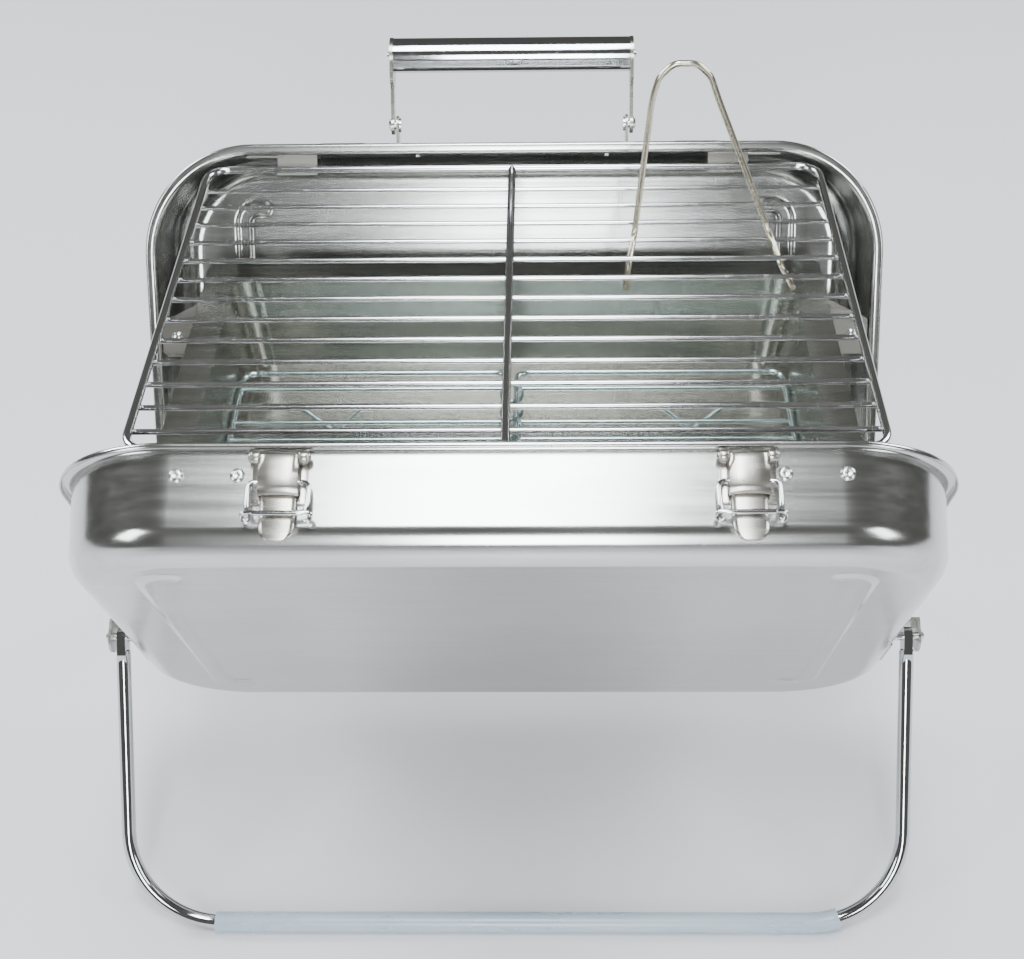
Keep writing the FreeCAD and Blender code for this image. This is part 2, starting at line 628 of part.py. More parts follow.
def makeLegMounts(side):
    """Saddle brackets on the side walls, with the bolts that carry the leg."""
    along, depth = size("legPivotAlong"), size("legPivotDepth")
    wallX = sideWall - wallInset(depth) - 0.3
    earX = armX + size("legTube") + 0.8
    bolts, rivets = [], []
    for hand, sign in (("left", -1), ("right", 1)):
        tag = "%s_%s_saddle" % (side, hand)
        flip = sign if side == "front" else -sign
        low = min(flip * wallX, flip * (earX + 1.5))

        def slab(name, near, far, y, width, z, height):
            start = min(flip * near, flip * far)
            return box(tag + name, abs(far - near), width, height, Vector(start, y, z))

        solids = [slab("_foot", wallX, wallX + 1.5, along - 17, 34, depth - 9, 19),
                  slab("_web", wallX, earX + 1.5, along - 9, 18, depth - 9, 1.5),
                  slab("_ear", earX, earX + 1.5, along - 9, 18, depth - 9, 11)]
        solids.append(cylinder(tag + "_crown", 9.0, 1.5, Vector(low if flip < 0 else flip * earX,
                                                               along, depth), Vector(1, 0, 0)))
        bore = cylinder(tag + "_bore", "dims.legBoltRadius", earX + 4 - wallX,
                        Vector(flip * (wallX - 1), along, depth), Vector(flip, 0, 0))
        keep(cut(tag, fuse(tag + "_solid", solids), bore), "leg_bracket_%s_%s" % (side, hand),
             cases[side])
        outward = Vector(flip, 0, 0)
        bolts.append(fuse(tag + "_bolt", [
            cylinder(tag + "_bolt_shank", "dims.legBoltRadius", earX + 2 - wallX,
                     Vector(flip * wallX, along, depth), outward),
            cone(tag + "_bolt_head", 5.2, 2.6, 3.0, Vector(flip * (earX + 1.5), along, depth), outward)]))
        seat = Rotation(Vector(0, 0, 1), outward)
        rivets += [rivet("%s_rivet_%d" % (tag, end + 1), Placement(
            Vector(flip * (wallX + 1.5), along + end * 13, depth + 2), seat)) for end in (-1, 1)]
    keep(group(side + "_leg_bolts_group", bolts), "leg_bolts_" + side, cases[side])
    keep(group(side + "_leg_rivets_group", rivets), "leg_bracket_rivets_" + side, cases[side])


# ---- charcoal tray and its supports ----

def level(height):
    return Placement(Vector(0, 0, hingeHeight + height), Rotation())


def makeTray():
    body = newBody("charcoal_tray_body")

    def section(name, height, inset, radius):
        sketch = newSketch(body, "tray_" + name, "XY_Plane", height)
        return roundedRectangle(sketch, "dims.trayLength - 2 * (%s)" % inset,
                                "dims.trayWidth - 2 * (%s)" % inset, radius,
                                "(%s) - dims.trayWidth / 2" % inset)

    depth = size("trayDepth")
    flange, thick = "dims.trayFlange", "dims.steel"
    low = flange + " + dims.trayTaper"
    loft(body, [section("top", 0, flange, "16"), section("bottom", -depth, low, "12")],
         "PartDesign::AdditiveLoft")
    doc.recompute()
    pad(body, section("rim", 0, "0", "9"), thick, reverse=True)
    doc.recompute()
    loft(body, [section("mouth", 0, flange + " + " + thick, "15.2"),
                section("floor", size("steel") - depth, low + " + " + thick, "11.2")],
         "PartDesign::SubtractiveLoft")
    doc.recompute()
    keep(body, "charcoal_tray", level(size("trayLevel")))


supportDepth = 3.6
supportSteel = 1.5
supportBolt = Vector(208, 180.5, supportDepth)


def makeTraySupports():
    """Bracket inside each side wall near the rim, its neck turned in under the tray's flange."""
    leafNear, leafFar = 215.6, 217.5
    low, high = supportBolt.y - 12, supportBolt.y + 9.5
    neckNear = size("trayLength") / 2 - 14
    neckFar = size("trayLength") / 2 - 1
    lean = math.radians(halfAngle)
    shelfTop = size("trayLevel") - size("steel") - 0.05
    neckTop = (supportDepth * math.sin(lean) + shelfTop) / math.cos(lean)
    shelfOut = size("trayWidth") / 2 - 0.1
    shelfLow = shelfTop - supportSteel
    for side in ("front", "rear"):
        bolts = []
        for hand, sign in (("left", -1), ("right", 1)):
            tag = "%s_%s_support" % (side, hand)
            flip = sign if side == "front" else -sign
            body = newBody(tag + "_body")
            plate = newSketch(body, tag + "_plate", "XY_Plane", supportDepth)
            outline = [(leafFar, low + 3), (leafFar - 3, low), (198, low), (neckNear, 200),
                       (neckNear, neckTop), (neckFar, neckTop), (neckFar, 206), (leafFar, high)]
            polygonSketch(plate, [(flip * x, s) for x, s in outline])
            pad(body, plate, supportSteel)
            leaf = box(tag + "_leaf", leafFar - leafNear, high - low - 3, 16,
                       Vector(min(flip * leafNear, flip * leafFar), low + 3, supportDepth))
            shelf = box(tag + "_shelf", neckFar - neckNear, 5.4, supportSteel)
            corner = Vector(min(flip * neckNear, flip * neckFar),
                            shelfOut * math.sin(lean) + shelfLow * math.cos(lean),
                            shelfOut * math.cos(lean) - shelfLow * math.sin(lean))
            shelf.Placement = Placement(corner, Rotation(Vector(1, 0, 0), -90 - halfAngle))
            keep(fuse(tag + "_solid", [body, leaf, shelf]), "tray_support_%s_%s" % (side, hand),
                 cases[side])
            seat = Placement(Vector(flip * supportBolt.x, supportBolt.y, supportBolt.z),
                             Rotation(Vector(1, 0, 0), 180))
            bolts.append(rivet(tag + "_bolt", seat))
        keep(group(side + "_support_bolts_group", bolts), "tray_support_bolts_" + side, cases[side])


# ---- charcoal grate ----

def makeGrateHalf(hand, sign):
    """Wire frame with cross rods and two V feet; the halves meet at the ring clips."""
    wire, rod = size("grateWire"), size("grateRod")
    inner = 1.0 + wire
    outer = size("grateHalf") - wire
    half = size("grateWidth") / 2 - wire
    middle = (inner + outer) / 2
    frame = newBody(hand + "_grate_frame_body")
    reach = (outer - inner) / 2
    loop = [(0, -half), (reach, -half), (reach, half), (-reach, half), (-reach, -half)]
    pipe(frame, hand + "_grate_frame", loop, 7.0, "dims.grateWire", closed=True)
    place = level(size("grateLevel")) * Placement(Vector(sign * middle, 0, 0), Rotation())
    keep(frame, "grate_%s_frame" % hand, place)
    rods = [cylinder("%s_grate_rod_%d" % (hand, index), "dims.grateRod", 2 * reach,
                     Vector(-reach, -half + (index + 1) * half / 3, 0), Vector(1, 0, 0))
            for index in range(5)]
    keep(group(hand + "_grate_rods_group", rods), "grate_%s_rods" % hand, place)
    feet = []
    for index, y in enumerate((-half / 3, half / 3)):
        foot = newBody("%s_foot_%d" % (hand, index))
        drop = size("footDrop") - rod - 0.3
        pipe(foot, foot.Name, [(-25, 0), (-17, 0), (0, -drop), (17, 0), (25, 0)], 3.0,
             "dims.grateRod")
        foot.Placement = Placement(Vector(0, y, -2 * rod + 0.2), Rotation(Vector(1, 0, 0), 90))
        feet.append(foot)
    keep(group(hand + "_grate_feet_group", feet), "grate_%s_feet" % hand,
         level(size("grateLevel")) * Placement(Vector(sign * 105, 0, 0), Rotation()))


grateAxisRise = 2.2


def makeRingClips():
    """Sheet bands rolled round the inner bars of both frames; their axis is the fold."""
    half = size("grateWidth") / 2 - size("grateWire")
    width = 2.4
    rings = []
    for index in range(5):
        start = Vector(0, (index - 2.5) * half / 3 - width / 2, grateAxisRise)
        outer = cylinder("ring_clip_outer_%d" % index, 7.0, width, start, Vector(0, 1, 0))
        inner = cylinder("ring_clip_inner_%d" % index, 5.8, width, start, Vector(0, 1, 0))
        rings.append(cut("ring_clip_%d" % index, outer, inner))
    keep(group("ring_clips_group", rings), "grate_ring_clips", level(size("grateLevel")))


# ---- cooking rack ----

rackHalfX = size("rackLength") / 2
rackHalfY = size("rackWidth") / 2
rackPitch = size("rackWidth") / 14
rackDrop = size("rackWire") + size("rackRod") - 0.3
rackSeat = Vector(0, rackHalfY * math.sin(math.radians(halfAngle))
                  + size("rackLevel") * math.cos(math.radians(halfAngle)), 0)


def makeRack():
    body = newBody("rack_frame_body")
    loop = [(0, -rackHalfY), (rackHalfX, -rackHalfY), (rackHalfX, rackHalfY),
            (-rackHalfX, rackHalfY), (-rackHalfX, -rackHalfY)]
    pipe(body, "rack_loop", loop, size("rackCorner"), "dims.rackWire", closed=True)
    keep(body, "rack_frame", level(size("rackLevel")))
    bar = cylinder("rack_bar", "dims.rackWire", "dims.rackWidth", Vector(), Vector(0, 1, 0))
    keep(group("rack_bar_group", [bar]), "rack_centre_bar",
         level(size("rackLevel")) * Placement(Vector(0, -rackHalfY, 0), Rotation()))
    rods = [cylinder("rack_rod_%d" % index, "dims.rackRod", "dims.rackLength + 2",
                     Vector(-rackHalfX - 1, -rackHalfY + index * rackPitch, -rackDrop), Vector(1, 0, 0))
            for index in range(1, 14)]
    keep(group("rack_rods_group", rods), "rack_cross_rods", level(size("rackLevel")))


def makeLifter():
    """One bent wire: over the fifth rod, then forward under the next two, on both legs."""
    over = -rackDrop + size("rackRod") + size("lifterWire") + 0.5
    under = -rackDrop - size("rackRod") - size("lifterWire") - 1.4
    rodY = rackHalfY - 4 * rackPitch
    leg = [(rodY - 2.2 * rackPitch, under), (rodY - rackPitch, under), (rodY, over),
           (rodY + 11.5, over + 78), (rodY + 13, over + 90)]
    spread = [(64, 155), (66, 151), (70, 146), (77.5, 113), (81, 108.5)]
    top = (rodY + 14, over + 97)
    points = [Vector(left, y, z) for (left, right), (y, z) in zip(spread, leg)]
    points += [Vector(88.5, *top), Vector(101, *top)]
    points += [Vector(right, y, z) for (left, right), (y, z) in zip(spread[::-1], leg[::-1])]
    edges = []
    cursor = points[0]
    for corner, following in zip(points[1:-1], points[2:]):
        inward = (corner - cursor).normalize()
        outward = (following - corner).normalize()
        room = 0.45 * min((corner - cursor).Length, (following - corner).Length, 22)
        start, end = corner - inward * room, corner + outward * room
        bend = room / math.tan(inward.getAngle(outward) / 2)
        bisector = (outward - inward).normalize()
        middle = corner + bisector * (math.hypot(bend, room) - bend)
        edges += [Part.LineSegment(cursor, start).toShape(), Part.Arc(start, middle, end).toShape()]
        cursor = end
    edges.append(Part.LineSegment(cursor, points[-1]).toShape())
    spine = Part.Wire(edges)
    profile = Part.Wire([Part.makeCircle(size("lifterWire"), points[0], points[1] - points[0])])
    obj = doc.addObject("Part::Feature", "rack_lifter_wire")
    obj.Shape = spine.makePipeShell([profile], True, True)
    keep(obj, "rack_lifter", level(size("rackLevel")))


for side in ("front", "rear"):
    makeShell(side)
    makeLeg(side)
    makeLegMounts(side)
makeHinges()
makeLatchPins()
makeWallRivets()
makeHandle()
makeTray()
makeTraySupports()
makeRingClips()
makeRack()
makeLifter()
for hand, sign in (("left", -1), ("right", 1)):
    makeLatch(hand, sign)
    makeCatch(hand, sign)
    makeGrateHalf(hand, sign)
    makeClip("front", hand, sign)
    makeClip("rear", hand, sign)

doc.recompute()
os.makedirs("parts", exist_ok=True)
for obj in doc.Objects:
    if "Invalid" in obj.State or "Error" in obj.State:
        raise RuntimeError("%s is %s" % (obj.Label, obj.State))
for obj in subparts:
    if obj.Shape.isNull() or not obj.Shape.isValid():
        raise RuntimeError("%s has no valid shape" % obj.Label)
    obj.Shape.exportStep("parts/%s.step" % obj.Label)
    print(obj.Label, len(obj.Shape.Solids), round(obj.Shape.Volume / 1000, 2), "cm3")
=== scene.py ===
import math
import json

import bmesh
import bpy
from mathutils import Euler, Matrix, Vector


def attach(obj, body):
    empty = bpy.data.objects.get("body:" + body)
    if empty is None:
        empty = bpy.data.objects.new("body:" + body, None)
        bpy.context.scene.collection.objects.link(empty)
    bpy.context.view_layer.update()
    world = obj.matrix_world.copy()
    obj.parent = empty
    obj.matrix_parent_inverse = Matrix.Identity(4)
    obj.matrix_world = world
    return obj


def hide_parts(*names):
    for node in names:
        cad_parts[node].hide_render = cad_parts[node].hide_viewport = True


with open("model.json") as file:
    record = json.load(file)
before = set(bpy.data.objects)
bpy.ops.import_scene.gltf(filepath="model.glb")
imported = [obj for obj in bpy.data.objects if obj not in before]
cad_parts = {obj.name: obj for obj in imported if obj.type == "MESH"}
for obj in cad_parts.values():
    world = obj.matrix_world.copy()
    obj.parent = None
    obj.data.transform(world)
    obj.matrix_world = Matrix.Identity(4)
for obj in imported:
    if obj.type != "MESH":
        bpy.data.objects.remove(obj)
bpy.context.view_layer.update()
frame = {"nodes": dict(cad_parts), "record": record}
print("frame loaded")

# where things are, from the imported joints

joints = {joint["name"]: joint for joint in frame["record"]["behaviour"]["joints"]}
hingeZ = joints["case_fold"]["pos_m"][2]
halfAngle = math.radians(joints["case_fold"]["range_deg"][1] / 2)
mm = 0.001


def caseFrame(side):
    # x along the hinge, y up the rim, z outward from the rim plane
    turn = Matrix.Rotation(math.radians(90) + halfAngle, 4, "X")
    place = Matrix.Translation((0, 0, hingeZ)) @ turn
    if side == "rear":
        place = Matrix.Rotation(math.pi, 4, "Z") @ place
    return place


# shader helpers

class Num:
    # wraps a socket so that sums and products add their own Math nodes
    def __init__(self, mat, socket):
        self.mat = mat
        self.socket = socket

    def op(self, operation, *others, swap=False):
        values = [self] + list(others)
        if swap:
            values = values[::-1]
        return self.mat.node("ShaderNodeMath", {"operation": operation}, dict(enumerate(values)))

    def __add__(self, other):
        return self.op("ADD", other)

    def __radd__(self, other):
        return self.op("ADD", other, swap=True)

    def __sub__(self, other):
        return self.op("SUBTRACT", other)

    def __rsub__(self, other):
        return self.op("SUBTRACT", other, swap=True)

    def __mul__(self, other):
        return self.op("MULTIPLY", other)

    def __rmul__(self, other):
        return self.op("MULTIPLY", other, swap=True)

    def __truediv__(self, other):
        return self.op("DIVIDE", other)

    def __pow__(self, other):
        return self.op("POWER", other)

    def smooth(self, low, high):
        return self.mat.node("ShaderNodeMapRange", {"interpolation_type": "SMOOTHSTEP"},
                             {"Value": self, "From Min": low, "From Max": high})


class Mat:
    # one material with its Principled shader and its object coordinates
    def __init__(self, name, **constants):
        self.data = bpy.data.materials.new(name)
        self.data.use_nodes = True
        self.tree = self.data.node_tree
        self.shader = self.tree.nodes["Principled BSDF"]
        for socket, value in constants.items():
            self.shader.inputs[socket.replace("_", " ")].default_value = value
        self.coords = self.node("ShaderNodeTexCoord", {}, {}, "Object")

    def node(self, kind, settings, inputs, output=0):
        made = self.tree.nodes.new(kind)
        for name, value in settings.items():
            if name == "stops":
                self.setStops(made.color_ramp, value)
            else:
                setattr(made, name, value)
        for name, value in inputs.items():
            self.feed(made.inputs[name], value)
        return Num(self, made.outputs[output])

    def setStops(self, ramp, stops):
        while len(ramp.elements) < len(stops):
            ramp.elements.new(0.5)
        for element, (position, colour) in zip(ramp.elements, stops):
            element.position = position
            element.color = (*colour, 1)

    def feed(self, socket, value):
        if isinstance(value, Num):
            self.tree.links.new(value.socket, socket)
        else:
            socket.default_value = value

    def put(self, socket, value):
        self.feed(self.shader.inputs[socket], value)

    def noise(self, scale, detail=3.0, stretch=(1, 1, 1), roughness=0.5, distortion=0.0):
        vector = self.node("ShaderNodeMapping", {}, {"Vector": self.coords, "Scale": stretch})
        return self.node("ShaderNodeTexNoise", {}, {"Vector": vector, "Scale": scale, "Detail": detail,
                                                    "Roughness": roughness, "Distortion": distortion})

    def mix(self, factor, first, second):
        made = self.tree.nodes.new("ShaderNodeMix")
        made.data_type = "RGBA"
        self.feed(made.inputs[0], factor)
        for socket, value in ((made.inputs[6], first), (made.inputs[7], second)):
            self.feed(socket, value if isinstance(value, Num) else (*value, 1))
        return Num(self, made.outputs[2])

    def bump(self, height, distance, strength=1.0):
        made = self.node("ShaderNodeBump", {}, {"Height": height, "Distance": distance,
                                                "Strength": strength}, "Normal")
        self.put("Normal", made)
        return self.data


# finishes

def satinSteel(name, tint, rough, grain=1.0, smudge=0.05):
    mat = Mat(name, Metallic=1.0)
    cloud = mat.noise(9.0, 4.0, roughness=0.6)
    lines = mat.noise(260.0, 2.0, stretch=(0.03, 1, 1))
    wipes = mat.noise(24.0, 5.0, stretch=(0.35, 1, 1), distortion=1.2)
    darker = tuple(value * 0.86 for value in tint)
    mat.put("Base Color", mat.mix((cloud * 0.6 + lines * 0.4).smooth(0.3, 0.7), darker, tint))
    mat.put("Roughness", (wipes - 0.5) * smudge * 2 + (lines - 0.5) * 0.10 + rough)
    return mat.bump(lines, 0.00012 * grain, 0.35)


def chromeSteel(name, tint, rough=0.09):
    mat = Mat(name, Metallic=1.0)
    specks = mat.noise(420.0, 3.0)
    cloud = mat.noise(30.0, 3.0)
    mat.put("Base Color", mat.mix(specks.smooth(0.62, 0.8), tint, tuple(v * 0.72 for v in tint)))
    mat.put("Roughness", cloud * 0.10 + specks.smooth(0.55, 0.8) * 0.12 + (rough - 0.05))
    return mat.bump(cloud, 0.00015, 0.2)


def sleevePlastic():
    mat = Mat("sleevePlastic", IOR=1.49, Subsurface_Weight=0.25, Transmission_Weight=0.35)
    scuffs = mat.noise(60.0, 4.0, stretch=(0.3, 1, 1))
    mat.put("Base Color", mat.mix(scuffs.smooth(0.35, 0.7), (0.74, 0.82, 0.94), (0.86, 0.91, 0.98)))
    mat.put("Roughness", scuffs * 0.2 + 0.18)
    return mat.bump(scuffs, 0.0001, 0.3)


steelPan = satinSteel("satinPan", (0.62, 0.62, 0.605), 0.19)
steelTray = satinSteel("satinTray", (0.56, 0.56, 0.52), 0.24)
steelPlate = satinSteel("platedPressing", (0.52, 0.50, 0.46), 0.27, 0.5, 0.08)
chromeTube = chromeSteel("chromeTube", (0.58, 0.59, 0.61), 0.08)
chromeWire = chromeSteel("chromeWire", (0.70, 0.70, 0.71), 0.12)
zincWire = chromeSteel("zincWire", (0.52, 0.62, 0.62), 0.2)
dullWire = chromeSteel("dullWire", (0.62, 0.57, 0.45), 0.24)
rivetMetal = chromeSteel("rivetMetal", (0.82, 0.82, 0.82), 0.22)
sleeve = sleevePlastic()
finishes = {"satin_pan": steelPan, "tray_steel": steelTray, "plated_steel": steelPlate,
            "chrome_tube": chromeTube, "chromed_wire": chromeWire, "zinc_wire": zincWire,
            "dull_wire": dullWire, "rivet_aluminium": rivetMetal, "sleeve_plastic": sleeve}
for entry in frame["record"]["subparts"]:
    node = frame["nodes"][entry["node"]]
    for slot in node.material_slots:
        slot.material = finishes[entry["material_slot"]]
print("finishes on the frame")

# making pieces

caseShape = {"width": 450, "height": 293.5, "gap": 4, "corner": 68, "lip": 6, "hem": 3.4,
             "wallDepth": 44.75, "draft": 2.5, "faceDepth": 54.9, "bevelWidth": 10, "steel": 0.8}


def wallSeat(side, x, depth):
    # x along the top wall, y towards the rim, z out of the wall; x and depth in millimetres
    inset = caseShape["draft"] * depth / caseShape["wallDepth"]
    top = caseShape["gap"] + caseShape["height"] - caseShape["lip"] - inset
    tilt = math.atan(caseShape["draft"] / caseShape["wallDepth"]) - math.radians(90)
    return (caseFrame(side) @ Matrix.Translation(Vector((x, top, depth)) * mm)
            @ Matrix.Rotation(tilt, 4, "X"))


def addPiece(name, shape, slotName, body, place=None, replaces=(), sheet=0.0, sharp=38):
    # shapes are drawn in millimetres in their own frame, then placed in metres
    place = place or Matrix()
    bmesh.ops.transform(shape, matrix=place @ Matrix.Scale(mm, 4), verts=shape.verts)
    data = bpy.data.meshes.new(name)
    shape.to_mesh(data)
    shape.free()
    data.shade_smooth()
    data.set_sharp_from_angle(angle=math.radians(sharp))
    data.materials.append(finishes[slotName])
    piece = bpy.data.objects.new(name, data)
    bpy.context.scene.collection.objects.link(piece)
    if sheet:
        solid = piece.modifiers.new("sheet", "SOLIDIFY")
        solid.thickness = sheet * mm
        solid.offset = 0
        solid.use_even_offset = True
        piece.modifiers.new("shading", "WEIGHTED_NORMAL").keep_sharp = True
    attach(piece, body)
    if replaces:
        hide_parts(*replaces)
    return piece


def stamp(target, template, place):
    # adds a placed copy of one shape to another
    copy = template.copy()
    bmesh.ops.transform(copy, matrix=place, verts=copy.verts)
    data = bpy.data.meshes.new("stamp")
    copy.to_mesh(data)
    copy.free()
    target.from_mesh(data)
    bpy.data.meshes.remove(data)


def turned(profile, steps=24):
    # lathe about z; the profile is (radius, height) and closes on the axis at both ends
    shape = bmesh.new()
    chain = bmesh.ops.create_vert(shape, co=(profile[0][0], 0, profile[0][1]))["vert"]
    edges = []
    for radius, height in profile[1:]:
        made = bmesh.ops.extrude_vert_indiv(shape, verts=chain[-1:])
        made["verts"][0].co = (radius, 0, height)
        chain += made["verts"]
        edges += made["edges"]
    bmesh.ops.spin(shape, geom=chain + edges, cent=(0, 0, 0), axis=(0, 0, 1), angle=math.tau,
                   steps=steps, use_merge=True)
    bmesh.ops.remove_doubles(shape, verts=shape.verts, dist=0.001)
    bmesh.ops.recalc_face_normals(shape, faces=shape.faces)
    return shape


def strip(profile, width, cuts=6):
    # sheet strip: one edge along x carried through (y, z) points, then cut across
    shape = bmesh.new()
    ends = [bmesh.ops.create_vert(shape, co=(side * width / 2, *profile[0]))["vert"][0]
            for side in (-1, 1)]
    edge = shape.edges.new(ends)
    for (y, z) in profile[1:]:
        made = bmesh.ops.extrude_edge_only(shape, edges=[edge])["geom"]
        for vert in [item for item in made if isinstance(item, bmesh.types.BMVert)]:
            vert.co.y, vert.co.z = y, z
        fresh = [item for item in made if isinstance(item, bmesh.types.BMEdge)]
        edge = [item for item in fresh if abs(item.verts[0].co.x - item.verts[1].co.x) > 0.1][0]
    across = [item for item in shape.edges if abs(item.verts[0].co.x - item.verts[1].co.x) > 0.1]
    bmesh.ops.subdivide_edges(shape, edges=across, cuts=cuts, use_grid_fill=True)
    bmesh.ops.recalc_face_normals(shape, faces=shape.faces)
    return shape


def wire(points, radius, closed=False):
    # bent wire on a smooth spline, made a mesh
    curve = bpy.data.curves.new("wire", "CURVE")
    curve.dimensions = "3D"
    curve.bevel_depth = radius
    curve.bevel_resolution = 4
    curve.resolution_u = 10
    curve.use_fill_caps = True
    spline = curve.splines.new("NURBS")
    spline.points.add(len(points) - 1)
    for point, place in zip(spline.points, points):
        point.co = (*place, 1)
    spline.order_u = 3
    spline.use_endpoint_u = not closed
    spline.use_cyclic_u = closed
    holder = bpy.data.objects.new("wire", curve)
    data = bpy.data.meshes.new_from_object(holder)
    shape = bmesh.new()
    shape.from_mesh(data)
    bpy.data.objects.remove(holder)
    bpy.data.curves.remove(curve)
    bpy.data.meshes.remove(data)
    return shape


# pans

beadShape = {"spread": 173, "foot": 46, "tall": 216, "wide": 11, "reach": 11, "corner": 9,
             "rise": 1.3, "flat": 3.1, "shoulder": 5.7, "step": 1.1}
panFolds = {"hem": 1.3, "lip": 2.7, "wall": 5.5, "face": 5.0}


def ringEdges(shape, level):
    # the folds of the sheet at one depth
    return [edge for edge in shape.edges
            if all(abs(vert.co.z - level) < 0.01 for vert in edge.verts)
            and len(edge.link_faces) == 2 and edge.calc_face_angle() > 0.3]


def beadDistance(x, y):
    # from the middle line of the C, mirrored to the right-hand bead
    corner = beadShape["corner"]
    centreX = beadShape["spread"] - corner
    middle = beadShape["foot"] + beadShape["tall"] / 2
    high = beadShape["tall"] / 2 - beadShape["wide"] / 2
    across, along = abs(x), abs(y - middle)
    if across > centreX:
        if along > high - corner:
            return abs(math.hypot(across - centreX, along - high + corner) - corner)
        return abs(across - beadShape["spread"])
    armEnd = beadShape["spread"] - beadShape["reach"] - 2
    return math.hypot(max(armEnd - across, 0), along - high)


def pressBeads(shape, level):
    step = beadShape["step"]
    reach = beadShape["shoulder"] + 1
    middle = beadShape["foot"] + beadShape["tall"] / 2
    high = beadShape["tall"] / 2 - beadShape["wide"] / 2
    inner = beadShape["spread"] - beadShape["reach"] - 2 - reach
    columns = int((beadShape["spread"] + reach - inner) / step) + 1
    rows = int((beadShape["corner"] + 2 * reach) / step) + 1
    cuts = [((side * (inner + index * step), 0, 0), (1, 0, 0))
            for side in (-1, 1) for index in range(columns + 1)]
    cuts += [((0, middle + side * (high + reach - index * step), 0), (0, 1, 0))
             for side in (-1, 1) for index in range(rows + 1)]
    for place, normal in cuts:
        flat = [face for face in shape.faces if face.calc_center_median().z > level - 0.01]
        parts = set(flat)
        for face in flat:
            parts.update(face.edges)
            parts.update(face.verts)
        bmesh.ops.bisect_plane(shape, geom=list(parts), plane_co=place, plane_no=normal, dist=0.001)
    for vert in shape.verts:
        if vert.co.z > level - 0.01:
            distance = beadDistance(vert.co.x, vert.co.y)
            fall = (distance - beadShape["flat"]) / (beadShape["shoulder"] - beadShape["flat"])
            fall = min(max(fall, 0), 1)
            vert.co.z += beadShape["rise"] * (1 - fall * fall * (3 - 2 * fall))


def panSheet():
    # middle of the sheet: hem, lip, wall, bevel and face, all from one rounded panel
    half = caseShape["steel"] / 2
    lipLevel = 0.25 + half
    wallLevel = caseShape["wallDepth"] - half
    faceLevel = caseShape["faceDepth"] - half
    shape = bmesh.new()
    bmesh.ops.create_grid(shape, x_segments=1, y_segments=1, size=0.5)
    size = (caseShape["width"] - 2 * half, caseShape["height"] - 2 * half, 1)
    bmesh.ops.scale(shape, vec=size, verts=shape.verts)
    middle = caseShape["gap"] + caseShape["height"] / 2
    bmesh.ops.translate(shape, vec=(0, middle, caseShape["hem"]), verts=shape.verts)
    bmesh.ops.bevel(shape, geom=shape.verts[:], offset=caseShape["corner"] - half, affect="VERTICES",
                    segments=22, profile=0.5, material=-1)
    panel = shape.faces[:]
    made = bmesh.ops.extrude_face_region(shape, geom=panel)["geom"]
    bmesh.ops.delete(shape, geom=[face for face in panel if face.is_valid], context="FACES_ONLY")
    moved = [item for item in made if isinstance(item, bmesh.types.BMVert)]
    bmesh.ops.translate(shape, vec=(0, 0, lipLevel - caseShape["hem"]), verts=moved)
    panel = [item for item in made if isinstance(item, bmesh.types.BMFace)]
    for inset, rise in ((caseShape["lip"], 0), (caseShape["draft"], wallLevel - lipLevel),
                        (caseShape["bevelWidth"], faceLevel - wallLevel)):
        bmesh.ops.inset_region(shape, faces=panel, thickness=inset, use_even_offset=True)
        verts = {vert for face in panel for vert in face.verts}
        bmesh.ops.translate(shape, vec=(0, 0, rise), verts=list(verts))
    for level, names in ((faceLevel, ("face",)), (wallLevel, ("wall",)), (lipLevel, ("lip", "hem"))):
        folds = ringEdges(shape, level)
        for name in names:
            chosen = [edge for edge in folds if edge.is_valid
                      and (len(names) == 1 or isOuter(edge) == (name == "hem"))]
            bmesh.ops.bevel(shape, geom=chosen, offset=panFolds[name], affect="EDGES", segments=5,
                            profile=0.5, material=-1, clamp_overlap=True)
    top = max(shape.faces, key=lambda face: face.calc_area())
    bmesh.ops.inset_region(shape, faces=[top], thickness=1.5, use_even_offset=True)
    pressBeads(shape, faceLevel)
    return shape


def isOuter(edge):
    # true on the outside of the lip, where the hem turns back
    return any(min(vert.co.z for vert in face.verts) > 0.3
               and max(vert.co.z for vert in face.verts) < caseShape["hem"] + 0.01
               and face.normal.z ** 2 < 0.5 for face in edge.link_faces)


for side in ("front", "rear"):
    addPiece(side + "_pan", panSheet(), "satin_pan", side + "_case", caseFrame(side),
             [side + "_shell"], caseShape["steel"], 60)
print("pans pressed")

# rivets

rivetDome = [(0, 0), (3.6, 0), (3.55, 0.45), (3.1, 0.95), (2.3, 1.25), (1.5, 1.35), (1.2, 1.2),
             (1.1, 0.6), (0.6, 0.45), (0, 0.5)]
rivetPlaces = {"latch": 109, "latchShift": 4.4, "latchDepth": 26, "clip": 142, "clipShift": 3,
               "clipDepth": 15, "catch": 107, "catchDepth": 15, "plate": 1.2}


def rivetSet(name, seats, body, node, dome=None):
    shape = bmesh.new()
    template = turned(dome or rivetDome)
    for seat in seats:
        stamp(shape, template, Matrix.Scale(1 / mm, 4) @ seat @ Matrix.Scale(mm, 4))
    addPiece(name, shape, "rivet_aluminium", body, replaces=[node])


def raised(seat, height):
    return seat @ Matrix.Translation((0, 0, height * mm))


